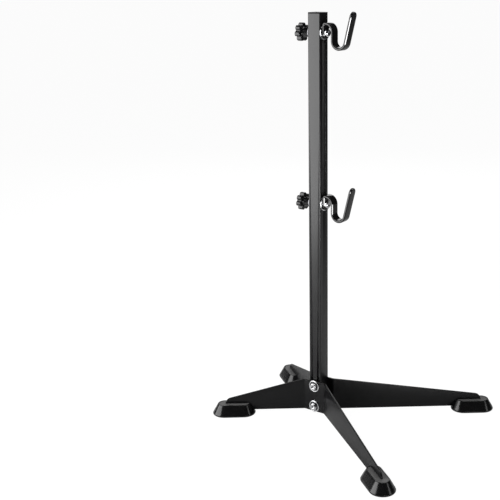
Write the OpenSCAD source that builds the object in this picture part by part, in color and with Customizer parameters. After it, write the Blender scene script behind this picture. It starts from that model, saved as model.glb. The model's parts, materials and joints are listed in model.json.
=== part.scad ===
// Repair and display stand that holds a bicycle by its rear stays.
// +Z is up, the hooks face +X, the star knobs face -X and the base bolts' heads face -Y.
// The origin is on the floor, under the post's axis.

/* [Post] */
// Width of the square tube
post_w = 25; // [22:0.5:32]
// Wall of the square tube
post_wall = 1.5; // [1:0.1:2.5]
// Outer corner radius of the square tube
post_corner_r = 1.6; // [1.5:0.1:4]
// Height of the tube's top end above the floor
post_top = 735; // [620:5:900]
// Height of the tube's lower end above the floor
post_bottom = 8; // [5:1:16]
// Clearance on each side of a clamp bolt in the post's slot
slot_gap = 0.5; // [0.3:0.05:1.5]
// Distance from the tube's top end down to the slot
slot_top_margin = 24; // [16:1:40]
// Length of the slot
slot_len = 315.4; // [240:0.1:380]
// Thickness of the end cap's lid
cap_lid_t = 2; // [1.5:0.5:5]
// Depth of the end cap's plug in the tube
cap_plug_depth = 12; // [6:1:15]
// Gap between the end cap's plug and the tube
cap_gap = 0.1; // [0.05:0.05:0.3]

/* [Leg plates] */
// Thickness of the leg plates
plate_t = 3; // [2:0.5:5]
// Height of the leg plates at the post
plate_h = 60; // [50:1:90]
// Width of the flat between the two bends
plate_flat_w = 44; // [40:1:60]
// Angle that each leg is bent away from the flat
leg_angle = 37; // [30:1:45]
// Radius of the bend at the middle of the plate
plate_bend_r = 5; // [4:0.5:9]
// Length of the legs on the hook side
long_leg = 280; // [220:5:360]
// Length of the legs on the knob side
short_leg = 149; // [120:1:220]
// Height of a leg at its tip
leg_tip_h = 24; // [18:1:32]
// Radius of the rounded corner at the tip
leg_tip_r = 12; // [6:1:16]

/* [Feet] */
// Length of a foot along the floor
foot_len = 80; // [70:1:110]
// Width of a foot along the floor
foot_w = 45; // [36:1:60]
// Height of a foot
foot_h = 20.5; // [16:0.5:26]
// How much narrower each side is at the top
foot_draft = 10; // [4:1:12]
// Thickness of the foot under the leg
foot_floor = 7; // [4:0.5:10]
// Length of foot beyond the leg's tip
foot_toe = 24; // [18:1:36]
// Gap between a leg and each side of its slot
foot_gap = 0.2; // [0.1:0.05:0.4]

/* [Base bolts] */
// Distance from the plates' lower and upper edges to the nearest base bolt
base_bolt_margin = 10; // [9:0.5:12]
// Length of base bolt that stands out of its nut
base_bolt_standout = 3.8; // [0.5:0.1:8]
// Clearance around a bolt in the holes of the base
bolt_hole_gap = 0.25; // [0.15:0.05:0.5]

/* [Hardware] */
// Diameter of the bolts
bolt_d = 8; // [7:0.5:9]
// Diameter of the button heads
head_d = 14; // [13:0.5:16]
// Height of the button heads
head_h = 4.4; // [3.5:0.1:5.5]
// Width across the flats of the socket in a head
socket_af = 5; // [4:1:6]
// Depth of the socket in a head
socket_depth = 2.6; // [1.5:0.1:3]
// Diameter of the washers at the hooks and knobs
washer_d = 24; // [20:1:28]
// Diameter of the washers at the base
base_washer_d = 22; // [18:1:26]
// Thickness of the washers
washer_t = 1.6; // [1:0.1:2.5]
// Clearance around a bolt in its washers
washer_gap = 0.2; // [0.1:0.05:0.4]
// Width across the flats of the lock nuts
nut_af = 13; // [13:0.5:15]
// Height of the lock nuts' hexagon
nut_h = 6.4; // [5:0.1:8]
// Height of the lock nuts' collar
nut_collar_h = 1.6; // [1:0.1:3]
// Clearance between a bolt and its threads
thread_gap = 0.05; // [0.02:0.01:0.1]

/* [Hooks] */
// Thickness of the steel bar in a hook
bar_t = 3; // [2.5:0.5:4]
// Width of the steel bar in a hook
bar_w = 15.6; // [14:0.1:22]
// Thickness of the dipped coating
coat_t = 0.9; // [0.3:0.1:1.2]
// Length of the tab below the bolt
tab_below = 9.6; // [9:0.1:16]
// Length of straight tab above the bolt
tab_above = 12.5; // [12.5:0.5:16]
// Radius of the bend at the top of the tab
tab_bend_r = 3; // [2.6:0.1:6]
// Distance from the tab to the hook's inner side
neck_reach = 17.3; // [16.8:0.1:26]
// Length of the flat between the tab's bend and the shoulder
neck_flat = 0.6; // [0:0.1:4]
// Depth of the straight inner side below the shoulder
inner_drop = 15.2; // [10:0.1:30]
// Radius of the cradle at the bar's middle
cradle_r = 12.9; // [11:0.1:18]
// Angle that the riser leans outward
riser_lean = 14.5; // [0:0.5:25]
// Height of the hook's tip above the bolt
tip_rise = 35.2; // [20:0.1:45]
// Clearance between a clamp bolt and its hook
swivel_gap = 0.1; // [0.05:0.01:0.1]
// Extra radius of the coating's hole around the bar's hole
coat_hole_step = 0.9; // [0.5:0.1:1.5]
// Distance from a parked bolt to the centre of the slot's round end
park_gap = 3.5; // [1:0.5:10]
// Distance from a tight clamp bolt's end to the insert's far end
bolt_end_gap = 3; // [1:0.5:6]

/* [Knobs] */
// Outer diameter of a knob across its lobes
knob_d = 32; // [28:1:45]
// Number of lobes
knob_lobes = 7; // [5:1:9]
// Depth of the hollows between the lobes
knob_lobe_depth = 3.2; // [1.5:0.1:4]
// Thickness of a knob's lobed rim
knob_rim_t = 10; // [8:0.5:14]
// Wall of a knob's hub around the insert
hub_wall = 2.5; // [2:0.1:4]
// Length of a knob's hub
hub_len = 14; // [8:0.5:18]
// Wall of the threaded insert around the bolt
insert_wall = 1.5; // [1:0.1:2]
// Length of the threaded insert
insert_len = 16; // [12:0.5:17]
// Clearance between the insert and the knob
insert_gap = 0.02; // [0.01:0.01:0.05]

/* [Hidden] */

round_fn = 64;
arc_steps = 8;
eps = 1;
half_post = post_w / 2;
bolt_r = bolt_d / 2;
slot_w = bolt_d + 2 * slot_gap;

slot_high = post_top - slot_top_margin;
slot_low = slot_high - slot_len;
upper_bolt_z = slot_high - slot_w / 2 - park_gap;
lower_bolt_z = slot_low + slot_w / 2 + park_gap;
base_bolt_low_z = foot_floor + base_bolt_margin;
base_bolt_high_z = foot_floor + plate_h - base_bolt_margin;

// Middle of a leg plate's flat, measured out from the post's axis
plate_mid = half_post + plate_t / 2;
plate_face = half_post + plate_t;
foot_end_r = foot_w / 2;
foot_span = foot_len - foot_w;
foot_edge = 2;
slice = 0.01;

// Total thickness and width of a coated hook
hook_t = bar_t + 2 * coat_t;
hook_w = bar_w + 2 * coat_t;
shoulder_r = neck_reach - tab_bend_r - neck_flat;

insert_d = bolt_d + 2 * insert_wall;
hub_d = insert_d + 2 * hub_wall;

// Length of each bolt under its head, from what it passes through
base_bolt_len = post_w + 2 * (plate_t + washer_t) + nut_h + nut_collar_h + base_bolt_standout;
clamp_bolt_len = hook_t + post_w + 2 * washer_t + insert_len - bolt_end_gap;

black = [0.03, 0.03, 0.033];
satin_black = [0.06, 0.06, 0.065];
steel = [0.75, 0.75, 0.77];

// Points of a path are [x, y, heading]. This is an arc about c from angle a to angle b.
function arc_path(c, r, a, b, steps = arc_steps) = [
    for (i = [0 : steps])
        let (t = a + (b - a) * i / steps)
        [c.x + r * cos(t), c.y + r * sin(t), t + (b > a ? 90 : -90)]
];

// Points of an arc without headings
function arc_points(c, r, a, b, steps = arc_steps) =
    [for (p = arc_path(c, r, a, b, steps)) [p.x, p.y]];

// Outline of a strip of thickness t that follows a path
function strip(path, t) = concat(
    [for (p = path) [p.x - t / 2 * sin(p[2]), p.y + t / 2 * cos(p[2])]],
    [for (i = [len(path) - 1 : -1 : 0])
        let (p = path[i]) [p.x + t / 2 * sin(p[2]), p.y - t / 2 * cos(p[2])]]
);

// Outline of a square of width w with round corners
function round_square(w, r) = [
    for (k = [0 : 3])
        let (c = (w / 2 - r) * [sign(cos(45 + 90 * k)), sign(sin(45 + 90 * k))])
        each arc_points(c, r, 90 * k, 90 * k + 90)
];

// ---------- Post ----------

module slot_cut() {
    straight = slot_len - slot_w;
    translate([0, 0, slot_low + slot_w / 2])
        rotate([90, 0, 90])
            linear_extrude(post_w + 2 * eps, center = true)
                polygon(concat(
                    arc_points([0, straight], slot_w / 2, 0, 180, 2 * arc_steps),
                    arc_points([0, 0], slot_w / 2, 180, 360, 2 * arc_steps)
                ));
}

module base_bolt_holes() {
    for (z = [base_bolt_low_z, base_bolt_high_z])
        translate([0, 0, z])
            rotate([90, 0, 0])
                cylinder(h = 2 * (plate_face + eps), r = bolt_r + bolt_hole_gap,
                         center = true, $fn = round_fn);
}

module post() {
    color(satin_black)
        difference() {
            translate([0, 0, post_bottom])
                linear_extrude(post_top - post_bottom)
                    polygon(round_square(post_w, post_corner_r));
            translate([0, 0, post_bottom - eps])
                linear_extrude(post_top - post_bottom + 2 * eps)
                    polygon(round_square(post_w - 2 * post_wall, post_corner_r - post_wall / 2));
            slot_cut();
            base_bolt_holes();
        }
}

module post_cap() {
    plug_w = post_w - 2 * post_wall - 2 * cap_gap;
    color(black) {
        translate([0, 0, post_top])
            linear_extrude(cap_lid_t)
                polygon(round_square(post_w, post_corner_r));
        translate([0, 0, post_top - cap_plug_depth])
            linear_extrude(cap_plug_depth)
                polygon(round_square(plug_w, post_corner_r - post_wall / 2));
    }
}

// ---------- Legs ----------

// Middle line of a leg plate seen from above, from the short leg's tip to the long leg's
function plate_path() =
    let (
        corner = plate_flat_w / 2,
        set_back = plate_bend_r * tan(leg_angle / 2),
        along = [cos(leg_angle), sin(leg_angle)]
    )
    concat(
        [[-corner - short_leg * along.x, plate_mid + short_leg * along.y, -leg_angle]],
        arc_path([-corner + set_back, plate_mid + plate_bend_r], plate_bend_r,
                 -90 - leg_angle, -90),
        arc_path([corner - set_back, plate_mid + plate_bend_r], plate_bend_r,
                 -90, -90 + leg_angle),
        [[corner + long_leg * along.x, plate_mid + long_leg * along.y, leg_angle]]
    );

// Carries what follows to a rear leg: +X along the leg from its bend, Z from the floor
module on_leg(side) {
    if (side > 0)
        translate([plate_flat_w / 2, plate_mid, 0]) rotate([0, 0, leg_angle]) children();
    else
        mirror([1, 0, 0])
            translate([plate_flat_w / 2, plate_mid, 0]) rotate([0, 0, leg_angle]) children();
}

// Everything above the sloping top edge and the round tip of a leg
module taper_cut(leg_len) {
    centre = [leg_len - leg_tip_r, leg_tip_h - leg_tip_r];
    reach = centre - [0, plate_h];
    slope = atan2(reach.y, reach.x) + asin(leg_tip_r / norm(reach));
    translate([0, 0, foot_floor])
        rotate([90, 0, 0])
            linear_extrude(2 * plate_t, center = true)
                polygon(concat(
                    [[0, plate_h]],
                    arc_points(centre, leg_tip_r, slope + 90, 0),
                    [[leg_len + eps, centre.y], [leg_len + eps, plate_h + eps], [0, plate_h + eps]]
                ));
}

module leg_plate() {
    color(satin_black)
        difference() {
            translate([0, 0, foot_floor])
                linear_extrude(plate_h)
                    polygon(strip(plate_path(), plate_t));
            on_leg(1) taper_cut(long_leg);
            on_leg(-1) taper_cut(short_leg);
            base_bolt_holes();
        }
}

module rear_leg_plate() leg_plate();
module front_leg_plate() mirror([0, 1, 0]) leg_plate();

// ---------- Feet ----------

// One foot on a leg of the given length: a drafted shoe with a slot that is open inward
module foot(leg_len) {
    far = leg_len + foot_toe - foot_end_r;
    near = far - foot_span;
    slot_width = plate_t + 2 * foot_gap;
    // Each level is [height, how far its outline is in from the widest one]
    levels = [[0, foot_edge], [foot_edge, 0],
              [foot_h - foot_edge, foot_draft - foot_edge], [foot_h, foot_draft]];
    color(black)
        difference() {
            hull()
                for (x = [near, far], level = levels)
                    translate([x, 0, level[0] - (level[0] > 0 ? slice : 0)])
                        cylinder(h = slice, r = foot_end_r - level[1], $fn = 32);
            translate([near - foot_end_r - eps, -slot_width / 2, foot_floor])
                cube([leg_len + foot_gap - near + foot_end_r + eps, slot_width, foot_h]);
        }
}

module rear_long_foot() on_leg(1) foot(long_leg);
module rear_short_foot() on_leg(-1) foot(short_leg);
module front_long_foot() mirror([0, 1, 0]) rear_long_foot();
module front_short_foot() mirror([0, 1, 0]) rear_short_foot();

// ---------- Hardware ----------

// Button-head bolt: the head stands on z = 0 and the shank hangs below it
module button_bolt(len) {
    dome_r = head_d / 2;
    color(steel)
        difference() {
            union() {
                rotate_extrude($fn = round_fn)
                    polygon(concat(
                        [[0, 0], [dome_r, 0], [dome_r, head_h * 0.25]],
                        [for (t = [15 : 15 : 60])
                            [dome_r * 0.45 + dome_r * 0.55 * cos(t),
                             head_h * 0.25 + head_h * 0.75 * sin(t) / sin(60)]],
                        [[0, head_h]]
                    ));
                translate([0, 0, -len])
                    cylinder(h = len, r = bolt_r, $fn = round_fn);
            }
            translate([0, 0, head_h - socket_depth])
                cylinder(h = socket_depth + eps, d = socket_af / cos(30), $fn = 6);
        }
}

module washer(d) {
    color(steel)
        difference() {
            cylinder(h = washer_t, d = d, $fn = round_fn);
            translate([0, 0, -eps])
                cylinder(h = washer_t + 2 * eps, r = bolt_r + washer_gap, $fn = round_fn);
        }
}

// Lock nut: hexagon on z = 0, with the round collar above it
module lock_nut() {
    color(steel)
        difference() {
            union() {
                cylinder(h = nut_h, d = nut_af / cos(30), $fn = 6);
                cylinder(h = nut_h + nut_collar_h, d = nut_af - 1.5, $fn = round_fn);
            }
            translate([0, 0, -eps])
                cylinder(h = nut_h + nut_collar_h + 2 * eps, r = bolt_r + thread_gap,
                         $fn = round_fn);
        }
}

// Carries what follows to the front (-Y) or the rear (+Y) of the base at height z
module on_base(side, z, out) {
    translate([0, side * out, z]) rotate([-90 * side, 0, 0]) children();
}

module base_bolt(z) on_base(-1, z, plate_face + washer_t) button_bolt(base_bolt_len);
module base_washer(side, z) on_base(side, z, plate_face) washer(base_washer_d);
module base_nut(z) on_base(1, z, plate_face + washer_t) lock_nut();

// ---------- Hooks ----------

// Middle line of a hook: x is the distance from the clamp washer, y the height over the bolt
function hook_path(extra) =
    let (
        tab_x = hook_t / 2,
        inner_x = tab_x + neck_reach,
        top_y = tab_above + tab_bend_r,
        shoulder = [inner_x - shoulder_r, top_y - shoulder_r],
        cradle = [inner_x + cradle_r, shoulder.y - inner_drop],
        lean = [sin(riser_lean), cos(riser_lean)],
        foot_of_riser = cradle + cradle_r * [lean.y, -lean.x],
        riser_len = (tip_rise - foot_of_riser.y) / lean.y + extra
    )
    concat(
        [[tab_x, -tab_below - extra, 90]],
        arc_path([tab_x + tab_bend_r, tab_above], tab_bend_r, 180, 90),
        arc_path(shoulder, shoulder_r, 90, 0, 2 * arc_steps),
        arc_path(cradle, cradle_r, 180, 360 - riser_lean, 3 * arc_steps),
        [[foot_of_riser.x + riser_len * lean.x, foot_of_riser.y + riser_len * lean.y,
          90 - riser_lean]]
    );

// The corners that a round end of width w leaves, with the end at y = 0 and the bar above it
module round_end_cut(w, depth) {
    rotate([90, 0, 90])
        linear_extrude(depth, center = true)
            polygon(concat(
                [[-w / 2 - eps, w / 2]],
                arc_points([0, w / 2], w / 2, 180, 360, 2 * arc_steps),
                [[w / 2 + eps, w / 2], [w / 2 + eps, -eps], [-w / 2 - eps, -eps]]
            ));
}

// Hook bent from a bar of thickness t and width w, with both ends longer by extra
module hook_shape(t, w, extra) {
    path = hook_path(extra);
    tip = path[len(path) - 1];
    difference() {
        rotate([90, 0, 0])
            linear_extrude(w, center = true)
                polygon(strip(path, t));
        translate([hook_t / 2, 0, -tab_below - extra])
            round_end_cut(w, hook_t + 2 * eps);
        translate([tip.x, 0, tip.y])
            rotate([0, 180 + riser_lean, 0])
                round_end_cut(w, hook_t + 2 * eps);
    }
}

module tab_hole(r) {
    translate([-eps, 0, 0])
        rotate([0, 90, 0])
            cylinder(h = hook_t + 2 * eps, r = r, $fn = round_fn);
}

module hook_bar() {
    color(steel)
        difference() {
            hook_shape(bar_t, bar_w, 0);
            tab_hole(bolt_r + swivel_gap);
        }
}

module hook_coating() {
    color(black)
        difference() {
            hook_shape(hook_t, hook_w, coat_t);
            hook_shape(bar_t, bar_w, 0);
            tab_hole(bolt_r + swivel_gap + coat_hole_step);
        }
}

// Carries what follows to the hook side or the knob side of the post, with +X outward
module on_hook_side(z) translate([half_post, 0, z]) children();
module on_clamp_washer(z) on_hook_side(z) translate([washer_t, 0, 0]) children();
module on_knob_side(z) translate([-half_post, 0, z]) rotate([0, 0, 180]) children();

module clamp_bolt() {
    translate([hook_t + washer_t, 0, 0]) rotate([0, 90, 0]) button_bolt(clamp_bolt_len);
}
module clamp_washer() rotate([0, 90, 0]) washer(washer_d);

// ---------- Knobs ----------

module knob_washer() rotate([0, 90, 0]) washer(washer_d);

module knob_insert() {
    color(steel)
        translate([washer_t, 0, 0])
            rotate([0, 90, 0])
                difference() {
                    cylinder(h = insert_len, d = insert_d, $fn = round_fn);
                    translate([0, 0, -eps])
                        cylinder(h = insert_len + 2 * eps, r = bolt_r + thread_gap,
                                 $fn = round_fn);
                }
}

module knob_body() {
    steps = 14 * knob_lobes;
    color(black)
        translate([washer_t, 0, 0])
            rotate([0, 90, 0])
                difference() {
                    union() {
                        cylinder(h = hub_len + eps, d = hub_d, $fn = round_fn);
                        translate([0, 0, hub_len])
                            linear_extrude(knob_rim_t)
                                polygon([
                                    for (i = [0 : steps - 1])
                                        let (
                                            t = 360 * i / steps,
                                            dip = 1 - abs(cos(knob_lobes * t / 2)),
                                            r = knob_d / 2 - knob_lobe_depth * dip * dip
                                        )
                                        r * [cos(t), sin(t)]
                                ]);
                    }
                    translate([0, 0, -eps])
                        cylinder(h = insert_len + eps, r = insert_d / 2 + insert_gap,
                                 $fn = round_fn);
                }
}

// ---------- Pieces ----------

post();
post_cap();
front_leg_plate();
rear_leg_plate();
front_long_foot();
front_short_foot();
rear_long_foot();
rear_short_foot();
base_bolt(base_bolt_low_z);  // base_bolt_lower
base_bolt(base_bolt_high_z);  // base_bolt_upper
base_washer(-1, base_bolt_low_z);  // base_head_washer_lower
base_washer(-1, base_bolt_high_z);  // base_head_washer_upper
base_washer(1, base_bolt_low_z);  // base_nut_washer_lower
base_washer(1, base_bolt_high_z);  // base_nut_washer_upper
base_nut(base_bolt_low_z);  // base_nut_lower
base_nut(base_bolt_high_z);  // base_nut_upper
on_clamp_washer(upper_bolt_z) hook_bar();  // upper_hook_bar
on_clamp_washer(upper_bolt_z) hook_coating();  // upper_hook_coating
on_hook_side(upper_bolt_z) clamp_bolt();  // upper_clamp_bolt
on_hook_side(upper_bolt_z) clamp_washer();  // upper_clamp_washer
on_knob_side(upper_bolt_z) knob_washer();  // upper_knob_washer
on_knob_side(upper_bolt_z) knob_insert();  // upper_knob_insert
on_knob_side(upper_bolt_z) knob_body();  // upper_knob_body
on_clamp_washer(lower_bolt_z) hook_bar();  // lower_hook_bar
on_clamp_washer(lower_bolt_z) hook_coating();  // lower_hook_coating
on_hook_side(lower_bolt_z) clamp_bolt();  // lower_clamp_bolt
on_hook_side(lower_bolt_z) clamp_washer();  // lower_clamp_washer
on_knob_side(lower_bolt_z) knob_washer();  // lower_knob_washer
on_knob_side(lower_bolt_z) knob_insert();  // lower_knob_insert
on_knob_side(lower_bolt_z) knob_body();  // lower_knob_body
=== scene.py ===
import json
import math

import bmesh
import bpy
from mathutils import Matrix, Vector

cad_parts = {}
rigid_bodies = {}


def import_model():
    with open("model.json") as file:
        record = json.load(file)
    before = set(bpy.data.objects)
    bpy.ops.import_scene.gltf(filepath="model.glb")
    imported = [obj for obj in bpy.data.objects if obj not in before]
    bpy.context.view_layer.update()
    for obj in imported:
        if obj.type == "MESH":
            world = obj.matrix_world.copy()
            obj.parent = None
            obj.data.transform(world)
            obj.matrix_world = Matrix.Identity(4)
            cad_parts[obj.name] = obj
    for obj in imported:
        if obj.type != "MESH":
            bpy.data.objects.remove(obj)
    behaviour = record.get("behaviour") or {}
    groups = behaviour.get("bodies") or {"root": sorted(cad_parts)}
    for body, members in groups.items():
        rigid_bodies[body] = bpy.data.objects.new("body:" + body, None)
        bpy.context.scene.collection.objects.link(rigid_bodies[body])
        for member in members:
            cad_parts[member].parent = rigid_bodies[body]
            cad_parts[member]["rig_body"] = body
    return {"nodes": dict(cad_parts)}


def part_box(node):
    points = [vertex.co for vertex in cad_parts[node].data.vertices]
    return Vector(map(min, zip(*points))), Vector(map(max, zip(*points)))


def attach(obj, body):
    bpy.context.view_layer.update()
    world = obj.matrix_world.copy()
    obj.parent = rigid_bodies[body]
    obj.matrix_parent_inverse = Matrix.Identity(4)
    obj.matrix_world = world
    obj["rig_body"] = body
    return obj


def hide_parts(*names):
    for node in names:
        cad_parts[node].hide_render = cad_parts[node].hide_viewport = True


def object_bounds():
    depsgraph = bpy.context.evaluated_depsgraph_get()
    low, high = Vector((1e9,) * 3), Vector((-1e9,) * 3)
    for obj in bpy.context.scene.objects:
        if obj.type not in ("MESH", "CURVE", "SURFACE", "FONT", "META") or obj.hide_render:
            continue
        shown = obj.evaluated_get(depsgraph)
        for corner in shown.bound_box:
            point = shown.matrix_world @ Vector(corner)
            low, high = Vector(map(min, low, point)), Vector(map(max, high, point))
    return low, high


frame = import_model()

cad_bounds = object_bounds()

# Lengths are in metres. These repeat the shapes that boxes alone can't give.
MM = 0.001
HOOK_ENDS = ("upper", "lower")
SAME_POINT = 1e-6              # points closer than this are one point
CAD_SHARP = 40                 # degrees: sharper edges of a CAD piece are rounded
BAR_COAT = 4.8 * MM            # thickness of a coated hook
COAT_SKIN = 0.9 * MM           # thickness of the coating itself
COAT_SLOPE = 1.5 * MM          # width and height of the slope along a hook's edges
SEAT_GAP = 0.02 * MM           # gap that keeps touching faces apart
TAB_STRAIGHT = 12.5 * MM       # straight tab above the bolt
TAB_BEND = 3.0 * MM
NECK_REACH = 17.3 * MM
SHOULDER = 13.7 * MM
INNER_DROP = 15.2 * MM
CRADLE = 12.9 * MM
RISER_LEAN = math.radians(14.5)
COAT_HOLE = 5.0 * MM
TAB_DROP = 9.6 * MM            # from the bolt down to the bar's lower end
TIP_RISE = 35.2 * MM           # from the bolt up to the bar's tip
BOLT_RADIUS = 4.0 * MM
HEAD_RADIUS = 7.0 * MM
HEAD_HEIGHT = 4.4 * MM
HEAD_STRAIGHT = 0.25           # part of a head's height that is below its dome
DOME_SWEEP = 1.05              # radians of a circle that a dome takes up
SOCKET_FLATS = 5.0 * MM
SOCKET_DEPTH = 2.6 * MM
THREAD_PITCH = 1.25 * MM
THREAD_DEPTH = 0.55 * MM
THREAD_STEPS = 8               # rings in one turn of a thread
BASE_PLAIN = 28 * MM           # length of a base bolt's shank without thread
CLAMP_PLAIN = 14 * MM          # length of a clamp bolt's shank without thread
KNOB_LOBES = 7
KNOB_RADIUS = 16.0 * MM
LOBE_DEPTH = 3.9 * MM
HUB_RADIUS = 8.0 * MM
INSERT_RADIUS = 5.55 * MM
INSERT_DEPTH = 16.0 * MM
RIM_THICKNESS = 10.0 * MM
NUT_FLATS = 13.0 * MM
NUT_COLLAR = 1.6 * MM
NYLON_SEAT = 2.2 * MM          # depth of the nylon ring's seat in a nut
LEG_ANGLE = math.radians(37)
FOOT_RADIUS = 22.45 * MM
FOOT_SPAN = 35.0 * MM
FOOT_DRAFT = 10.0 * MM
FOOT_SLOT = 3.4 * MM
FOOT_FLOOR = 7.0 * MM
FOOT_TOE = 24.0 * MM
FOOT_RECESS = 0.6 * MM
FOOT_BELT = 4.0 * MM           # height where the sides of a foot start to lean in
BELT_INSET = 0.55 * MM


# ---------- Node helpers ----------

def link(tree, source, target):
    tree.links.new(source, target)


def node(tree, kind, **values):
    """Adds a node and sets its settings by attribute and its inputs by name, with _ for a space."""
    made = tree.nodes.new(kind)
    for key, value in values.items():
        if hasattr(made, key):
            setattr(made, key, value)
        else:
            made.inputs[key.replace("_", " ")].default_value = value
    return made


def maths(tree, operation, first, second=None, clamp=False):
    made = tree.nodes.new("ShaderNodeMath")
    made.operation = operation
    made.use_clamp = clamp
    for place, value in enumerate((first, second)):
        if value is None:
            continue
        if isinstance(value, (int, float)):
            made.inputs[place].default_value = value
        else:
            link(tree, value, made.inputs[place])
    return made.outputs[0]


def blend_colour(tree, amount, first, second):
    made = tree.nodes.new("ShaderNodeMix")
    made.data_type = "RGBA"
    link(tree, amount, made.inputs["Factor"])
    for name, value in (("A", first), ("B", second)):
        socket = next(s for s in made.inputs if s.name == name and s.type == "RGBA")
        if hasattr(value, "links"):
            link(tree, value, socket)
        else:
            socket.default_value = (*value, 1)
    return next(s for s in made.outputs if s.type == "RGBA")


def new_group(name, inputs, outputs):
    """A shader node group. inputs are (name, kind, default) and outputs (name, kind)."""
    tree = bpy.data.node_groups.new(name, "ShaderNodeTree")
    for label, kind, default in inputs:
        socket = tree.interface.new_socket(label, in_out="INPUT", socket_type="NodeSocket" + kind)
        socket.default_value = default
    for label, kind in outputs:
        tree.interface.new_socket(label, in_out="OUTPUT", socket_type="NodeSocket" + kind)
    return tree, tree.nodes.new("NodeGroupInput"), tree.nodes.new("NodeGroupOutput")


def make_grain_group():
    """Cloudy colour and roughness, with the fine height of a sprayed or moulded surface."""
    tree, given, out = new_group(
        "surface_grain",
        [("Color", "Color", (0.02, 0.02, 0.02, 1)), ("Pale Color", "Color", (0.04, 0.04, 0.04, 1)),
         ("Cloud Scale", "Float", 30.0), ("Grain Scale", "Float", 1500.0),
         ("Roughness", "Float", 0.4), ("Roughness Spread", "Float", 0.1)],
        [("Color", "Color"), ("Roughness", "Float"), ("Height", "Float")])
    place = tree.nodes.new("ShaderNodeTexCoord").outputs["Object"]
    cloud = node(tree, "ShaderNodeTexNoise", Detail=4.0, Roughness=0.6)
    grain = node(tree, "ShaderNodeTexNoise", Detail=3.0, Roughness=0.55)
    pits = node(tree, "ShaderNodeTexVoronoi")
    for texture, scale in ((cloud, "Cloud Scale"), (grain, "Grain Scale"), (pits, "Grain Scale")):
        link(tree, place, texture.inputs["Vector"])
        link(tree, given.outputs[scale], texture.inputs["Scale"])
    link(tree, blend_colour(tree, cloud.outputs[0], given.outputs["Color"], given.outputs["Pale Color"]),
         out.inputs["Color"])
    centred = maths(tree, "SUBTRACT", cloud.outputs[0], 0.5)
    spread = maths(tree, "MULTIPLY", centred, given.outputs["Roughness Spread"])
    specks = maths(tree, "MULTIPLY", maths(tree, "SUBTRACT", grain.outputs[0], 0.5),
                   given.outputs["Roughness Spread"])
    rough = maths(tree, "ADD", given.outputs["Roughness"], maths(tree, "ADD", spread, specks))
    link(tree, rough, out.inputs["Roughness"])
    height = maths(tree, "ADD", grain.outputs[0], maths(tree, "MULTIPLY", pits.outputs[0], 0.35))
    link(tree, height, out.inputs["Height"])
    return tree


def make_edge_group():
    """A mask that is high along convex edges, broken up so that it looks uneven: rubbed wear, and a
    painted highlight for the sheen that edges catch.
    """
    tree, given, out = new_group(
        "edge_wear_and_highlight",
        [("Width", "Float", 0.0008), ("Amount", "Float", 0.5), ("Breakup Scale", "Float", 120.0)],
        [("Mask", "Float")])
    shape = tree.nodes.new("ShaderNodeNewGeometry")
    rounded = tree.nodes.new("ShaderNodeBevel")
    rounded.samples = 4
    link(tree, given.outputs["Width"], rounded.inputs["Radius"])
    facing = tree.nodes.new("ShaderNodeVectorMath")
    facing.operation = "DOT_PRODUCT"
    link(tree, rounded.outputs[0], facing.inputs[0])
    link(tree, shape.outputs["Normal"], facing.inputs[1])
    edge = maths(tree, "MULTIPLY", maths(tree, "SUBTRACT", 1.0, facing.outputs["Value"]), 6.0,
                 clamp=True)
    breakup = node(tree, "ShaderNodeTexNoise", Detail=5.0, Roughness=0.7)
    link(tree, tree.nodes.new("ShaderNodeTexCoord").outputs["Object"], breakup.inputs["Vector"])
    link(tree, given.outputs["Breakup Scale"], breakup.inputs["Scale"])
    uneven = maths(tree, "MULTIPLY", edge, breakup.outputs[0])
    link(tree, maths(tree, "MULTIPLY", uneven, given.outputs["Amount"], clamp=True),
         out.inputs["Mask"])
    return tree


def make_dust_group():
    """A faint pale film that settles on faces that look up."""
    tree, given, out = new_group(
        "settled_dust",
        [("Amount", "Float", 0.1), ("Scale", "Float", 60.0)],
        [("Mask", "Float")])
    shape = tree.nodes.new("ShaderNodeNewGeometry")
    parts = tree.nodes.new("ShaderNodeSeparateXYZ")
    link(tree, shape.outputs["Normal"], parts.inputs[0])
    upward = maths(tree, "MULTIPLY", parts.outputs["Z"], 1.0, clamp=True)
    patches = node(tree, "ShaderNodeTexNoise", Detail=6.0, Roughness=0.65)
    link(tree, tree.nodes.new("ShaderNodeTexCoord").outputs["Object"], patches.inputs["Vector"])
    link(tree, given.outputs["Scale"], patches.inputs["Scale"])
    film = maths(tree, "MULTIPLY", maths(tree, "MULTIPLY", upward, patches.outputs[0]),
                 given.outputs["Amount"], clamp=True)
    link(tree, film, out.inputs["Mask"])
    return tree


DUST_COLOUR = (0.32, 0.31, 0.30)
GRAIN_HEIGHT = 0.1 * MM        # height of the grain at full strength
GRAIN = make_grain_group()
EDGES = make_edge_group()
DUST = make_dust_group()


def place_group(tree, group, **values):
    made = tree.nodes.new("ShaderNodeGroup")
    made.node_tree = group
    for key, value in values.items():
        made.inputs[key.replace("_", " ")].default_value = value
    return made


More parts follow.
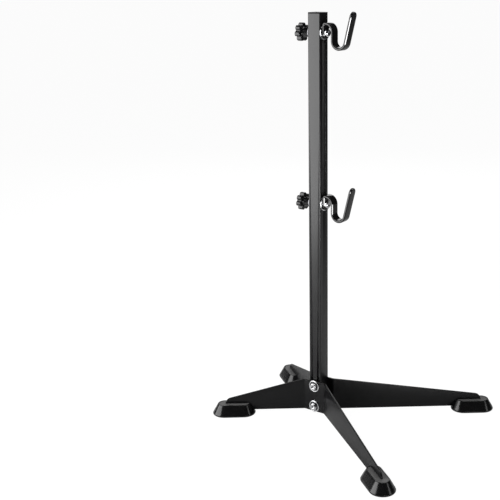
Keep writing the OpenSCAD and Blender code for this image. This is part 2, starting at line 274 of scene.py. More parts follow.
def finish_material(name, colour, pale, roughness, spread, cloud, grain, bump, edge_colour,
                    edge=0.4, dust=0.05, metallic=0.0, specular=0.5):
    """A surface with grain, edges lightened as wear and as painted highlight, and a little dust, over one
    Principled shader.

    colour and pale are the ends of a cloudy colour, and spread is how far the roughness wanders.
    cloud and grain are how fine the clouds and the grain are, and bump is how deep the grain is.
    edge and dust are how strongly the lighter edges (wear and painted highlight) and the dust show.
    """
    material = bpy.data.materials.new(name)
    material.use_nodes = True
    tree = material.node_tree
    shader = tree.nodes["Principled BSDF"]
    shader.inputs["Metallic"].default_value = metallic
    shader.inputs["Specular IOR Level"].default_value = specular
    surface = place_group(tree, GRAIN, Color=(*colour, 1), Pale_Color=(*pale, 1),
                          Cloud_Scale=cloud, Grain_Scale=grain, Roughness=roughness,
                          Roughness_Spread=spread)
    wear_and_highlight_edges = place_group(tree, EDGES, Amount=edge)
    dusty = place_group(tree, DUST, Amount=dust)
    # Lighter edge colour: wear, and a painted highlight where edges catch the light.
    colour_with_edge_wear_and_highlight = blend_colour(tree, wear_and_highlight_edges.outputs["Mask"], surface.outputs["Color"], edge_colour)
    final = blend_colour(tree, dusty.outputs["Mask"], colour_with_edge_wear_and_highlight, DUST_COLOUR)
    link(tree, final, shader.inputs["Base Color"])
    link(tree, surface.outputs["Roughness"], shader.inputs["Roughness"])
    raised = tree.nodes.new("ShaderNodeBump")
    raised.inputs["Strength"].default_value = bump
    raised.inputs["Distance"].default_value = GRAIN_HEIGHT
    link(tree, surface.outputs["Height"], raised.inputs["Height"])
    link(tree, raised.outputs["Normal"], shader.inputs["Normal"])
    return material


def powder_coat(name, specular):
    """Satin black powder coat on steel."""
    return finish_material(
        name, colour=(0.002, 0.002, 0.0023), pale=(0.005, 0.005, 0.0056), roughness=0.31,
        spread=0.10, cloud=22.0, grain=1800.0, bump=0.22, edge_colour=(0.05, 0.05, 0.052),
        edge=0.5, dust=0.05, specular=specular)


def dipped_vinyl():
    """Glossy black vinyl that a hook was dipped in."""
    return finish_material(
        "dipped_vinyl", colour=(0.002, 0.002, 0.0022), pale=(0.005, 0.005, 0.0054),
        roughness=0.09, spread=0.04, cloud=45.0, grain=350.0, bump=0.06,
        edge_colour=(0.015, 0.015, 0.015), edge=0.05, dust=0.0, specular=0.5)


def moulded_rubber():
    """Semi-gloss black rubber of the feet."""
    return finish_material(
        "moulded_rubber", colour=(0.002, 0.002, 0.0022), pale=(0.005, 0.005, 0.0055),
        roughness=0.18, spread=0.08, cloud=35.0, grain=2200.0, bump=0.30,
        edge_colour=(0.02, 0.02, 0.02), edge=0.3, dust=0.03, specular=0.42)


def rubber_painted_top_light():
    """Dull rubber of the tops of the feet, with some dust, coloured lighter grey as painted light that the
    upward tops catch.
    """
    return finish_material(
        "rubber_painted_top_light", colour=(0.060, 0.060, 0.061), pale=(0.090, 0.090, 0.091),
        roughness=0.55, spread=0.14, cloud=60.0, grain=2200.0, bump=0.40,
        edge_colour=(0.08, 0.08, 0.08), edge=0.3, dust=0.25)


def zinc_painted_shade():
    """Dark colour for the flat of the washers under the base bolts' heads, inside their bright rims. It is
    painted shade on what is bright zinc.
    """
    return finish_material(
        "zinc_painted_shade", colour=(0.015, 0.015, 0.016), pale=(0.030, 0.030, 0.031),
        roughness=0.38, spread=0.15, cloud=150.0, grain=1600.0, bump=0.25,
        edge_colour=(0.05, 0.05, 0.05), edge=0.1, dust=0.0, specular=0.3)


def moulded_nylon():
    """Black moulded nylon of the knobs."""
    return finish_material(
        "moulded_nylon", colour=(0.003, 0.003, 0.0033), pale=(0.005, 0.005, 0.0055),
        roughness=0.13, spread=0.06, cloud=60.0, grain=2600.0, bump=0.15,
        edge_colour=(0.02, 0.02, 0.02), edge=0.1, dust=0.0)


def cap_plastic():
    """Matt black plastic of the end cap."""
    return finish_material(
        "cap_plastic", colour=(0.003, 0.003, 0.0033), pale=(0.007, 0.007, 0.0075),
        roughness=0.55, spread=0.12, cloud=50.0, grain=2600.0, bump=0.5,
        edge_colour=(0.03, 0.03, 0.03), edge=0.2, dust=0.06, specular=0.15)


def bright_zinc():
    """Bright zinc plating of the bolts, nuts, inserts and most of the washers."""
    return finish_material(
        "bright_zinc", colour=(0.66, 0.67, 0.69), pale=(0.84, 0.84, 0.85),
        roughness=0.20, spread=0.20, cloud=180.0, grain=1600.0, bump=0.20,
        edge_colour=(0.92, 0.92, 0.92), edge=0.5, dust=0.04, metallic=1.0)


def dull_zinc_painted_shade():
    """Dull zinc plating of the washers under the knobs, coloured darker as painted shade, the shade
    between knob and post.
    """
    return finish_material(
        "dull_zinc_painted_shade", colour=(0.16, 0.16, 0.17), pale=(0.26, 0.26, 0.27),
        roughness=0.38, spread=0.20, cloud=180.0, grain=1600.0, bump=0.25,
        edge_colour=(0.5, 0.5, 0.5), edge=0.5, dust=0.03, metallic=1.0)


def plain_steel():
    """Plain rolled steel of the bars inside the hooks."""
    return finish_material(
        "plain_steel", colour=(0.30, 0.30, 0.32), pale=(0.46, 0.46, 0.48),
        roughness=0.35, spread=0.20, cloud=120.0, grain=1500.0, bump=0.3,
        edge_colour=(0.6, 0.6, 0.6), metallic=1.0)


def lock_ring_nylon():
    """Off-white nylon ring in the lock nuts."""
    return finish_material(
        "lock_ring_nylon", colour=(0.62, 0.62, 0.60), pale=(0.74, 0.74, 0.72),
        roughness=0.42, spread=0.1, cloud=200.0, grain=2600.0, bump=0.3,
        edge_colour=(0.8, 0.8, 0.8), edge=0.1)


POST_PAINT = powder_coat("post_powder_coat", 0.5)
LEG_PAINT = powder_coat("leg_powder_coat", 0.24)
VINYL = dipped_vinyl()
RUBBER = moulded_rubber()
TOP_LIGHT_RUBBER = rubber_painted_top_light()
PAINTED_SHADE_ZINC = zinc_painted_shade()
NYLON = moulded_nylon()
CAP = cap_plastic()
ZINC = bright_zinc()
SHADE_DARKENED_ZINC = dull_zinc_painted_shade()
STEEL = plain_steel()
LOCK_RING = lock_ring_nylon()


# ---------- Mesh helpers ----------

def body_of(name):
    return frame["nodes"][name]["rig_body"]


def set_material(piece, material):
    piece.data.materials.clear()
    piece.data.materials.append(material)
    for face in piece.data.polygons:
        face.material_index = 0


def shade_by_angle(mesh, degrees):
    """Smooth faces, with a sharp edge where two faces meet at more than the angle."""
    limit = math.radians(degrees)
    for face in mesh.faces:
        face.smooth = True
    for edge in mesh.edges:
        edge.smooth = len(edge.link_faces) == 2 and edge.calc_face_angle(0) < limit


def finish_piece(mesh, name, material, stands_for=None, body=None, sharp=38):
    """Makes an object of a bmesh, gives it its material and ties it to its body."""
    bmesh.ops.remove_doubles(mesh, verts=mesh.verts, dist=SAME_POINT)
    bmesh.ops.recalc_face_normals(mesh, faces=mesh.faces)
    shade_by_angle(mesh, sharp)
    data = bpy.data.meshes.new(name)
    mesh.to_mesh(data)
    mesh.free()
    piece = bpy.data.objects.new(name, data)
    bpy.context.scene.collection.objects.link(piece)
    set_material(piece, material)
    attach(piece, body or body_of(stands_for))
    if stands_for:
        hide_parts(stands_for)
    return piece


def soften_edges(name, material, width):
    """Gives a CAD piece its material and small round edges, and leaves its mesh as it is."""
    piece = frame["nodes"][name]
    set_material(piece, material)
    for face in piece.data.polygons:
        face.use_smooth = True
    joined = piece.modifiers.new("joined", "WELD")
    joined.merge_threshold = SAME_POINT
    bevel = piece.modifiers.new("round_edges", "BEVEL")
    bevel.width = width
    bevel.segments = 3
    bevel.limit_method = "ANGLE"
    bevel.angle_limit = math.radians(CAD_SHARP)
    bevel.harden_normals = True
    bevel.use_clamp_overlap = True


def loft(rings, turns=64):
    """A closed bmesh around local Z. Each ring is (height, radius), radius a number or f(angle)."""
    mesh = bmesh.new()
    rows = []
    for height, radius in rings:
        if not callable(radius) and radius < 1e-7:
            rows.append([mesh.verts.new((0, 0, height))])
            continue
        row = []
        for i in range(turns):
            angle = 2 * math.pi * i / turns
            r = radius(angle) if callable(radius) else radius
            row.append(mesh.verts.new((r * math.cos(angle), r * math.sin(angle), height)))
        rows.append(row)
    pairs = list(zip(rows, rows[1:]))
    if len(rows[0]) > 1:
        pairs.append((rows[-1], rows[0]))
    for low, high in pairs:
        for i in range(turns):
            j = (i + 1) % turns
            corners = [low[i % len(low)], low[j % len(low)], high[j % len(high)], high[i % len(high)]]
            unique = list(dict.fromkeys(corners))
            if len(unique) > 2:
                mesh.faces.new(unique)
    return mesh


def along(origin, axis):
    """The matrix that carries local Z to an axis from an origin."""
    return Matrix.Translation(origin) @ Vector((0, 0, 1)).rotation_difference(
        Vector(axis)).to_matrix().to_4x4()


def hexagon(flats, most=1.0):
    """The radius of a hexagon with a corner at angle 0, cut off at a largest radius."""
    return lambda angle: min(flats / 2 / math.cos((angle % (math.pi / 3)) - math.pi / 6), most)


def stand_on(mesh, matrix):
    mesh.transform(matrix)
    return mesh


# ---------- Hardware ----------

def threaded_rings(start, end):
    """Rings of a screw thread that runs from one height down to another."""
    steps = int(abs(start - end) / THREAD_PITCH * THREAD_STEPS)
    rings = []
    for step in range(steps + 1):
        height = start + (end - start) * step / steps

        def radius(angle, height=height):
            phase = (height / THREAD_PITCH + angle / (2 * math.pi)) % 1.0
            fade = min(1.0, (start - height) / THREAD_PITCH, (height - end) / THREAD_PITCH + 0.4)
            return BOLT_RADIUS - THREAD_DEPTH * max(0.0, fade) * abs(2 * phase - 1)
        rings.append((height, radius))
    return rings


def button_bolt(name, origin, axis, plain):
    """Button-head bolt with a socket. Its head stands on origin, and plain is its shank without thread."""
    low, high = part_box(name)
    length = max(high - low) - HEAD_HEIGHT
    top = HEAD_HEIGHT
    domed = 1 - HEAD_STRAIGHT
    dome = [(top * HEAD_STRAIGHT + top * domed * math.sin(t) / math.sin(DOME_SWEEP),
             HEAD_RADIUS * (0.45 + 0.55 * math.cos(t)))
            for t in [DOME_SWEEP * k / 8 for k in range(8, 0, -1)]]
    socket = hexagon(SOCKET_FLATS)
    wide = hexagon(SOCKET_FLATS, SOCKET_FLATS / 2 * 1.1)
    rings = [(top - SOCKET_DEPTH - 0.4 * MM, 0.0), (top - SOCKET_DEPTH, socket),
             (top - 0.35 * MM, socket),
             (top - 0.05 * MM, lambda a: wide(a) + 0.45 * MM)]
    rings += dome
    rings += [(top * HEAD_STRAIGHT, HEAD_RADIUS), (0.25 * MM, HEAD_RADIUS),
              (SEAT_GAP, HEAD_RADIUS - 0.25 * MM),
              (SEAT_GAP, BOLT_RADIUS), (-plain, BOLT_RADIUS)]
    rings += threaded_rings(-plain - 0.01 * MM, -length + 0.8 * MM)
    rings += [(-length, BOLT_RADIUS - 1.1 * MM), (-length, 0.0)]
    mesh = stand_on(loft(rings, 48), along(origin, axis))
    finish_piece(mesh, name + "_detailed", ZINC, name, sharp=32)


def stamped_washer(name, axis_index, side, finish, dark_flat=False):
    """Flat washer with its outer edge rounded on one side and barely broken on the other.

    With dark_flat, the rounded side is a bright rim around a shallow recess that is coloured dark as
    painted shade.
    """
    low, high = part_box(name)
    centre = (low + high) / 2
    thickness = high[axis_index] - low[axis_index] - 2 * SEAT_GAP
    other = [i for i in range(3) if i != axis_index]
    radius = (high[other[0]] - low[other[0]]) / 2
    bore = BOLT_RADIUS + 0.2 * MM
    half = thickness / 2
    edge = (0.9 if dark_flat else 0.45) * MM
    rim = (1.9 if dark_flat else 0.45) * MM
    drop = (0.3 if dark_flat else 0.0) * MM
    rings = [(-half, bore + 0.15 * MM), (-half, radius - 0.12 * MM), (-half + 0.12 * MM, radius)]
    rings += [(half - edge * (1 - math.sin(t)), radius - edge * (1 - math.cos(t)))
              for t in (0.0, 0.4, 0.8, 1.2, math.pi / 2)]
    rings += [(half - drop * 0.2, radius - rim), (half - drop, radius - rim - drop),
              (half - drop, HEAD_RADIUS * 0.9), (half, HEAD_RADIUS * 0.85),
              (half, bore + 0.35 * MM), (half - 0.25 * MM, bore), (-half + 0.15 * MM, bore)]
    axis = Vector((0, 0, 0))
    axis[axis_index] = side
    mesh = stand_on(loft(rings, 96), along(centre, axis))
    piece = finish_piece(mesh, name + "_stamped", finish, name)
    # The recess inside the rim gets the dark zinc colour: painted shade.
    if dark_flat:
        piece.data.materials.append(PAINTED_SHADE_ZINC)
        for face in piece.data.polygons:
            reach = face.center - centre
            if reach.dot(axis) > 0 and reach.length < radius - rim:
                face.material_index = 1


def lock_nut(name):
    """Hexagon nut with chamfered corners, a rolled collar and a nylon ring in it."""
    low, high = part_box(name)
    centre = (low + high) / 2
    origin = Vector((centre.x, low.y, centre.z))
    height = high.y - low.y
    hex_top = height - NUT_COLLAR
    bore = BOLT_RADIUS + 0.05 * MM
    corner = NUT_FLATS / 2
    collar = corner - 0.75 * MM
    rings = [(0.4 * MM, bore), (0.0, bore + 0.4 * MM), (0.0, hexagon(NUT_FLATS, corner + 0.1 * MM)),
             (0.45 * MM, hexagon(NUT_FLATS, corner + 0.6 * MM)), (1.0 * MM, hexagon(NUT_FLATS)),
             (hex_top - 1.0 * MM, hexagon(NUT_FLATS)),
             (hex_top - 0.4 * MM, hexagon(NUT_FLATS, corner + 0.6 * MM)),
             (hex_top, hexagon(NUT_FLATS, corner + 0.1 * MM)), (hex_top, collar),
             (height - 0.5 * MM, collar), (height - 0.15 * MM, collar - 0.2 * MM),
             (height, collar - 0.6 * MM), (height - 0.1 * MM, collar - 1.0 * MM),
             (height - 0.6 * MM, collar - 1.05 * MM), (height - NYLON_SEAT, collar - 1.05 * MM),
             (height - NYLON_SEAT, bore)]
    lift = along(origin, (0, 1, 0))
    finish_piece(stand_on(loft(rings, 96), lift), name + "_hexagon", ZINC, name, sharp=28)
    ring = [(height - 2.15 * MM, bore), (height - 2.15 * MM, collar - 1.08 * MM),
            (height - 0.65 * MM, collar - 1.08 * MM), (height - 0.45 * MM, collar - 1.3 * MM),
            (height - 0.45 * MM, bore + 0.15 * MM), (height - 0.7 * MM, bore)]
    finish_piece(stand_on(loft(ring, 64), lift), name + "_nylon_ring", LOCK_RING,
                 body=body_of(name))


def base_hardware():
    """Bolts, washers and lock nuts that hold the leg plates to the post."""
    for level in ("lower", "upper"):
        low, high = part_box("base_bolt_" + level)
        centre = (low + high) / 2
        seat = Vector((centre.x, low.y + HEAD_HEIGHT, centre.z))
        button_bolt("base_bolt_" + level, seat, (0, -1, 0), BASE_PLAIN)
        stamped_washer("base_head_washer_" + level, 1, -1, ZINC, dark_flat=True)
        stamped_washer("base_nut_washer_" + level, 1, 1, ZINC)
        lock_nut("base_nut_" + level)


# ---------- Hooks ----------

def arc(centre, radius, start, end, steps):
    """Points (x, z, heading) around a centre from one angle to another, in degrees."""
    points = []
    for step in range(steps + 1):
        angle = math.radians(start + (end - start) * step / steps)
        heading = angle + math.copysign(math.pi / 2, end - start)
        points.append((centre[0] + radius * math.cos(angle),
                       centre[1] + radius * math.sin(angle), heading))
    return points


def line(start, end, heading, steps):
    return [(start[0] + (end[0] - start[0]) * k / steps,
             start[1] + (end[1] - start[1]) * k / steps, heading) for k in range(steps + 1)]


def hook_path(name, bolt_z):
    """Middle line of a coated hook, from the tab's lower end to the riser's tip."""
    low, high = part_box(name)
    half = BAR_COAT / 2
    tab_x = low.x + half
    inner_x = tab_x + NECK_REACH
    top_z = bolt_z + TAB_STRAIGHT + TAB_BEND
    shoulder = (inner_x - SHOULDER, top_z - SHOULDER)
    cradle = (inner_x + CRADLE, shoulder[1] - INNER_DROP)
    tab_end = bolt_z - TAB_DROP - COAT_SKIN
    tip_z = bolt_z + TIP_RISE + COAT_SKIN * math.cos(RISER_LEAN)
    riser = (cradle[0] + CRADLE * math.cos(RISER_LEAN),
             cradle[1] - CRADLE * math.sin(RISER_LEAN))
    tip = (riser[0] + (tip_z - riser[1]) * math.tan(RISER_LEAN), tip_z)
    up = math.pi / 2
    path = line((tab_x, tab_end), (tab_x, bolt_z + TAB_STRAIGHT), up, 6)
    path += arc((tab_x + TAB_BEND, bolt_z + TAB_STRAIGHT), TAB_BEND, 180, 90, 8)
    path += arc(shoulder, SHOULDER, 90, 0, 20)
    path += line((inner_x, shoulder[1]), (inner_x, cradle[1]), -up, 3)
    path += arc(cradle, CRADLE, 180, 360 - math.degrees(RISER_LEAN), 32)
    path += line(riser, tip, up - RISER_LEAN, 8)
    return path


def even_stations(path, ends):
    """The path's points with their distances to its nearer end, and more of them near both ends."""
    clean = [path[0]]
    for point in path[1:]:
        if math.dist(point[:2], clean[-1][:2]) > 1e-5:
            clean.append(point)
    reach = [0.0]
    for a, b in zip(clean, clean[1:]):
        reach.append(reach[-1] + math.dist(a[:2], b[:2]))
    total = reach[-1]

    def at(distance):
        """The point (x, z, heading) at a distance along the path."""
        for k in range(1, len(clean)):
            if distance <= reach[k] or k == len(clean) - 1:
                part = (distance - reach[k - 1]) / (reach[k] - reach[k - 1])
                a, b = clean[k - 1], clean[k]
                turn = (b[2] - a[2] + math.pi) % (2 * math.pi) - math.pi
                return (a[0] + (b[0] - a[0]) * part, a[1] + (b[1] - a[1]) * part,
                        a[2] + turn * part)
    inner = [d for d in reach if ends[-1] < d < total - ends[-1]]
    marks = list(ends) + inner + [total - d for d in reversed(ends)]
    return [(at(d), min(d, total - d)) for d in marks]


def hook_section(thick, wide):
    """Outline of a coated bar with sloped edges. thick and wide are half its thickness and width."""
    slope = min(COAT_SLOPE, wide * 0.6, thick * 0.6)
    crease = slope / 3
    tangent = crease * math.tan(math.pi / 8)
    corner = []
    for middle, start in (((thick - crease, wide - slope - tangent), 0),
                          ((thick - slope - tangent, wide - crease), 45)):
        for step in range(4):
            a = math.radians(start + 15 * step)
            corner.append((middle[0] + crease * math.cos(a), middle[1] + crease * math.sin(a)))
    back = corner[::-1]
    outline = corner + [(-t, w) for t, w in back]
    return outline + [(-t, -w) for t, w in corner] + [(t, -w) for t, w in back]


def hook_coating(end):
    """The vinyl skin of a hook: a strip with sloped edges and round ends, drilled for the bolt."""
    name = end + "_hook_coating"
    low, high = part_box(name)
    bolt_low, bolt_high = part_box(end + "_clamp_bolt")
    bolt_z = (bolt_low.z + bolt_high.z) / 2
    centre_y = (low.y + high.y) / 2
    half_w = (high.y - low.y) / 2
    half_t = BAR_COAT / 2
    ends = [half_w * (1 - math.cos(math.radians(a))) for a in (6, 14, 24, 35, 47, 60, 75, 90)]
    mesh = bmesh.new()
    rows = []
    for (x, z, heading), reach in even_stations(hook_path(name, bolt_z), ends):
        wide = math.sqrt(max(0.0, half_w ** 2 - max(0.0, half_w - reach) ** 2))
        short = max(0.0, COAT_SLOPE - reach)
        thick = half_t - COAT_SLOPE + math.sqrt(max(0.0, COAT_SLOPE ** 2 - short ** 2))
        side = Vector((-math.sin(heading), 0, math.cos(heading)))
        middle = Vector((x, centre_y, z))
        rows.append([mesh.verts.new(middle + side * t + Vector((0, w, 0)))
                     for t, w in hook_section(thick, wide)])
    count = len(rows[0])
    for a, b in zip(rows, rows[1:]):
        for k in range(count):
            n = (k + 1) % count
            mesh.faces.new((a[k], a[n], b[n], b[k]))
    mesh.faces.new(list(reversed(rows[0])))
    mesh.faces.new(rows[-1])
    hole = [(-1 * MM, 0.0), (-1 * MM, COAT_HOLE), (6 * MM, COAT_HOLE), (6 * MM, 0.0)]
    drill = stand_on(loft(hole, 48), along((low.x, centre_y, bolt_z), (1, 0, 0)))
    finish_piece(cut_away(mesh, drill), name + "_skin", VINYL, name, sharp=50)


def cut_away(mesh, tool):
    """The bmesh with the tool's space taken out of it."""
    pieces = []
    for part, label in ((mesh, "whole"), (tool, "tool")):
        bmesh.ops.recalc_face_normals(part, faces=part.faces)
        data = bpy.data.meshes.new(label)
        part.to_mesh(data)
        part.free()
        pieces.append(bpy.data.objects.new(label, data))
        bpy.context.scene.collection.objects.link(pieces[-1])
    whole, cutter = pieces
    cut = whole.modifiers.new("cut", "BOOLEAN")
    cut.object = cutter
    cut.operation = "DIFFERENCE"
    cut.solver = "EXACT"
    result = bmesh.new()
    result.from_object(whole, bpy.context.evaluated_depsgraph_get())
    for piece in pieces:
        data = piece.data
        bpy.data.objects.remove(piece)
        bpy.data.meshes.remove(data)
    return result


def clamp_hardware(end):
    """Bolt and washers of a hook."""
    name = end + "_clamp_bolt"
    low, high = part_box(name)
    centre = (low + high) / 2
    seat = Vector((high.x - HEAD_HEIGHT, centre.y, centre.z))
    button_bolt(name, seat, (1, 0, 0), CLAMP_PLAIN)
    stamped_washer(end + "_clamp_washer", 0, 1, ZINC)
    # The knob washers get the darker zinc: painted shade between knob and post.
    stamped_washer(end + "_knob_washer", 0, -1, SHADE_DARKENED_ZINC)


# ---------- Knobs ----------

def lobed(radius, depth):
    """The radius of a rim with broad lobes and round hollows between them."""
    def at(angle):
        swing = 0.5 + 0.5 * math.cos(KNOB_LOBES * angle)
        hollow = (1 - swing) ** 2.2
        return radius - depth * hollow
    return at


def knob_rim(hub, length, rim):
    """Rings of the lobed rim with round edges, and of its dished outer face."""
    e = 1.2 * MM
    inner = lobed(rim - e * 1.7, LOBE_DEPTH * 0.9)
    turn = [math.radians(a) for a in (15, 40, 65, 90)]
    side = [(hub, inner)]
    side += [(hub + e * (1 - math.cos(t)), lobed(rim - e * (1 - math.sin(t)), LOBE_DEPTH))
             for t in turn]
    side += [(length - e * (1 - math.cos(t)), lobed(rim - e * (1 - math.sin(t)), LOBE_DEPTH))
             for t in reversed(turn)]
    face = [(length, inner), (length, 10.4 * MM), (length - 0.3 * MM, 10.0 * MM),
            (length - 1.0 * MM, 9.4 * MM), (length - 1.2 * MM, 8.6 * MM),
            (length - 1.2 * MM, 6.6 * MM), (length - 0.9 * MM, 6.2 * MM),
            (length - 0.5 * MM, 5.6 * MM), (length - 0.3 * MM, 3.0 * MM),
            (length - 0.25 * MM, 0.0)]
    return side + face


def knob_body(end):
    """Star knob: a hub with a bore for the insert, a lobed rim and a dished outer face."""
    name = end + "_knob_body"
    low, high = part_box(name)
    length = high.x - low.x
    hub = length - RIM_THICKNESS
    bolt_low, bolt_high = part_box(end + "_clamp_bolt")
    origin = Vector((high.x, (bolt_low.y + bolt_high.y) / 2, (bolt_low.z + bolt_high.z) / 2))
    rings = [(INSERT_DEPTH, 0.0), (INSERT_DEPTH, INSERT_RADIUS), (0.3 * MM, INSERT_RADIUS),
             (0.0, INSERT_RADIUS + 0.3 * MM), (0.0, HUB_RADIUS - 0.6 * MM),
             (0.2 * MM, HUB_RADIUS - 0.2 * MM), (0.6 * MM, HUB_RADIUS),
             (hub - 1.6 * MM, HUB_RADIUS + 0.3 * MM), (hub - 0.6 * MM, HUB_RADIUS + 0.8 * MM),
             (hub, HUB_RADIUS + 1.8 * MM)]
    rings += knob_rim(hub, length, KNOB_RADIUS)
    mesh = stand_on(loft(rings, KNOB_LOBES * 20), along(origin, (-1, 0, 0)))
    finish_piece(mesh, name + "_star", NYLON, name, sharp=40)


# ---------- Feet ----------

def foot(name):
    """Rubber shoe of a leg: drafted sides, round edges and a slot that is open inward."""
    low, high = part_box(name)
    centre = (low + high) / 2
    height = high.z - low.z
    outward = Vector((math.copysign(math.cos(LEG_ANGLE), centre.x),
                      math.copysign(math.sin(LEG_ANGLE), centre.y), 0))
    across = Vector((-outward.y, outward.x, 0))
    levels = [(0.0, 2.6 * MM), (0.15 * MM, 1.7 * MM), (0.7 * MM, 0.8 * MM), (1.5 * MM, 0.2 * MM),
              (2.6 * MM, 0.0), (FOOT_BELT, BELT_INSET)]
    shoulder = height - 1.6 * MM
    for k in range(1, 7):
        part = k / 6
        levels.append((FOOT_BELT + (shoulder - FOOT_BELT) * part,
                       BELT_INSET + (FOOT_DRAFT - 1.0 * MM - BELT_INSET) * part))
    levels += [(height - 0.9 * MM, FOOT_DRAFT - 0.55 * MM),
               (height - 0.3 * MM, FOOT_DRAFT - 0.25 * MM), (height, FOOT_DRAFT + 0.3 * MM),
               (height, FOOT_DRAFT + 1.4 * MM), (height - FOOT_RECESS, FOOT_DRAFT + 1.7 * MM)]
    mesh = bmesh.new()
    rows = []
    for z, inset in levels:
        row = []
        for end in (1, -1):
            for k in range(25):
                a = math.radians(-90 + 180 * k / 24)
                r = FOOT_RADIUS - inset
                point = outward * (end * (FOOT_SPAN / 2 + r * math.cos(a)))
                point += across * (end * r * math.sin(a))
                row.append(mesh.verts.new((centre.x + point.x, centre.y + point.y, low.z + z)))
        rows.append(row)
    count = len(rows[0])
    for a, b in zip(rows, rows[1:]):
        for k in range(count):
            n = (k + 1) % count
            mesh.faces.new((a[k], a[n], b[n], b[k]))
    mesh.faces.new(list(reversed(rows[0])))
    mesh.faces.new(rows[-1])
    slot_end = FOOT_SPAN / 2 + FOOT_RADIUS - FOOT_TOE + 0.3 * MM
    slot_start = -FOOT_SPAN / 2 - FOOT_RADIUS - 2 * MM
    tool = bmesh.new()
    bmesh.ops.create_cube(tool, size=1.0)
    size = Matrix.Diagonal((slot_end - slot_start, FOOT_SLOT, height, 1))
    turn = Matrix.Rotation(math.atan2(outward.y, outward.x), 4, "Z")
    middle = outward * ((slot_end + slot_start) / 2)
    place = Matrix.Translation((centre.x + middle.x, centre.y + middle.y,
                                low.z + FOOT_FLOOR + height / 2))
    tool.transform(place @ turn @ size)
    piece = finish_piece(cut_away(mesh, tool), name + "_shoe", RUBBER, name, sharp=40)
    # The upward tread faces get the lighter grey rubber: painted light on the tops of the feet.
    piece.data.materials.append(TOP_LIGHT_RUBBER)
    tread = low.z + height - FOOT_RECESS
    for face in piece.data.polygons:
        if face.normal.z > 0.99 and abs(face.center.z - tread) < 0.1 * MM:
            face.material_index = 1
    lip = piece.modifiers.new("slot_lip", "BEVEL")
    lip.width = 0.45 * MM
    lip.segments = 2
    lip.limit_method = "ANGLE"
    lip.angle_limit = math.radians(60)


# ---------- The stand ----------

def build_stand():
    soften_edges("post", POST_PAINT, 0.35 * MM)
    soften_edges("post_cap", CAP, 0.5 * MM)
    soften_edges("front_leg_plate", LEG_PAINT, 0.45 * MM)
    soften_edges("rear_leg_plate", LEG_PAINT, 0.45 * MM)
    base_hardware()
    for name in ("front_long_foot", "front_short_foot", "rear_long_foot", "rear_short_foot"):
        foot(name)
    for end in HOOK_ENDS:
        soften_edges(end + "_hook_bar", STEEL, 0.1 * MM)
        soften_edges(end + "_knob_insert", ZINC, 0.1 * MM)
        hook_coating(end)
        clamp_hardware(end)
        knob_body(end)


# ---------- Studio ----------

FLOOR_GLOW = 1.12              # strength of the floor's glow
GLOW_SHARE = 0.86              # part of the floor that the camera sees as glow
ROOM_LIGHT = 0.035             # strength of the room's light on the stand
BACKDROP = 0.935               # strength that the room gains where the camera sees it


def floor_finish():
    """Matt white paper that the camera sees mostly as an even glow, with faint shadows on it.

    Every other ray meets plain paper, so the glow doesn't light the stand.
    """
    material = bpy.data.materials.new("white_paper")
    material.use_nodes = True
    tree = material.node_tree
    shader = tree.nodes["Principled BSDF"]
    shader.inputs["Specular IOR Level"].default_value = 0.0
    shader.inputs["Roughness"].default_value = 1.0
    mottle = node(tree, "ShaderNodeTexNoise", Scale=3.0)
    link(tree, blend_colour(tree, mottle.outputs[0], (0.80, 0.80, 0.80), (0.78, 0.78, 0.78)),
         shader.inputs["Base Color"])
    glow = node(tree, "ShaderNodeEmission", Color=(1, 1, 1, 1), Strength=FLOOR_GLOW)
    mixed = tree.nodes.new("ShaderNodeMixShader")
    seen = maths(tree, "MULTIPLY", tree.nodes.new("ShaderNodeLightPath").outputs["Is Camera Ray"],
                 GLOW_SHARE)
    link(tree, seen, mixed.inputs[0])
    link(tree, shader.outputs[0], mixed.inputs[1])
    link(tree, glow.outputs[0], mixed.inputs[2])
    link(tree, mixed.outputs[0], tree.nodes["Material Output"].inputs["Surface"])
    return material


def pale_floor():
    """A wide floor just below the feet."""
    mesh = bmesh.new()
    bmesh.ops.create_grid(mesh, x_segments=1, y_segments=1, size=40.0)
    data = bpy.data.meshes.new("floor")
    mesh.to_mesh(data)
    mesh.free()
    floor = bpy.data.objects.new("floor", data)
    bpy.context.scene.collection.objects.link(floor)
    floor.location.z = cad_bounds[0][2] - 0.2 * MM
    data.materials.append(floor_finish())


def soft_box(name, position, target, size, brightness, spread=180):
    """A rectangular lamp with a face of the given brightness. spread is its whole angle in degrees."""
    data = bpy.data.lights.new(name, "AREA")
    data.shape = "RECTANGLE"
    data.size, data.size_y = size
    data.spread = math.radians(spread)
    data.energy = brightness * math.pi * size[0] * size[1] * math.sin(data.spread / 2) ** 2
    lamp = bpy.data.objects.new(name, data)
    bpy.context.scene.collection.objects.link(lamp)
    lamp.location = position
    lamp.rotation_euler = (Vector(target) - Vector(position)).to_track_quat("-Z", "Y").to_euler()
    lamp.visible_camera = False


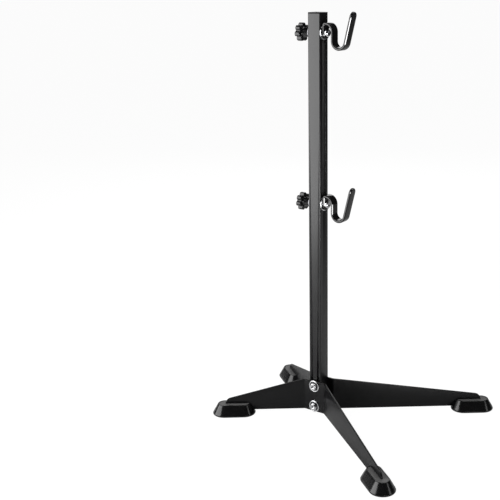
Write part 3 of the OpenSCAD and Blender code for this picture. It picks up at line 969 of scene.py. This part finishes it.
def studio_room():
    """A dim room around the lamps that the camera sees as a white backdrop, in plain display colours."""
    world = bpy.data.worlds.new("studio_room")
    world.use_nodes = True
    tree = world.node_tree
    backdrop = tree.nodes["Background"]
    backdrop.inputs["Color"].default_value = (1.0, 1.0, 1.0, 1)
    seen = tree.nodes.new("ShaderNodeLightPath").outputs["Is Camera Ray"]
    link(tree, maths(tree, "ADD", maths(tree, "MULTIPLY", seen, BACKDROP), ROOM_LIGHT),
         backdrop.inputs["Strength"])
    bpy.context.scene.world = world
    bpy.context.scene.view_settings.view_transform = "Standard"


def studio_light():
    studio_room()
    soft_box("key", (-0.77, -0.93, 0.86), (0, 0, 0.86), (1.2, 1.7), 5.0)
    soft_box("back", (-1.2, 1.8, 1.3), (0, 0, 0.2), (1.5, 0.9), 2.0)
    soft_box("top", (0.30, 0.35, 1.9), (0.1, 0.2, 0), (1.0, 1.0), 3.5)
    soft_box("strip", (1.07, -0.74, 0.16), (0.05, 0, 0.72), (0.34, 0.34), 16.0, spread=60)
    soft_box("side", (1.9, 0.2, 0.7), (0, 0, 0.2), (0.35, 1.2), 2.5)


def studio_camera():
    """The view from the front and the hook side, from a little above the post's top."""
    azimuth, pitch, roll = (math.radians(a) for a in (34.32, 14.40, -0.17))
    distance = 1.749
    aim = Vector((0, 0, 0.370))
    data = bpy.data.cameras.new("camera")
    data.sensor_width = 36.0
    data.lens = 70.27
    data.shift_x = -0.1368
    data.shift_y = -0.0573
    data.clip_end = 200.0
    camera = bpy.data.objects.new("camera", data)
    bpy.context.scene.collection.objects.link(camera)
    toward = Vector((math.sin(azimuth) * math.cos(pitch),
                     -math.cos(azimuth) * math.cos(pitch),
                     math.sin(pitch)))
    turn = (Matrix.Rotation(azimuth, 4, "Z") @ Matrix.Rotation(math.pi / 2 - pitch, 4, "X")
            @ Matrix.Rotation(roll, 4, "Z"))
    camera.matrix_world = Matrix.Translation(aim + toward * distance) @ turn
    bpy.context.scene.camera = camera


build_stand()
pale_floor()
studio_light()
studio_camera()
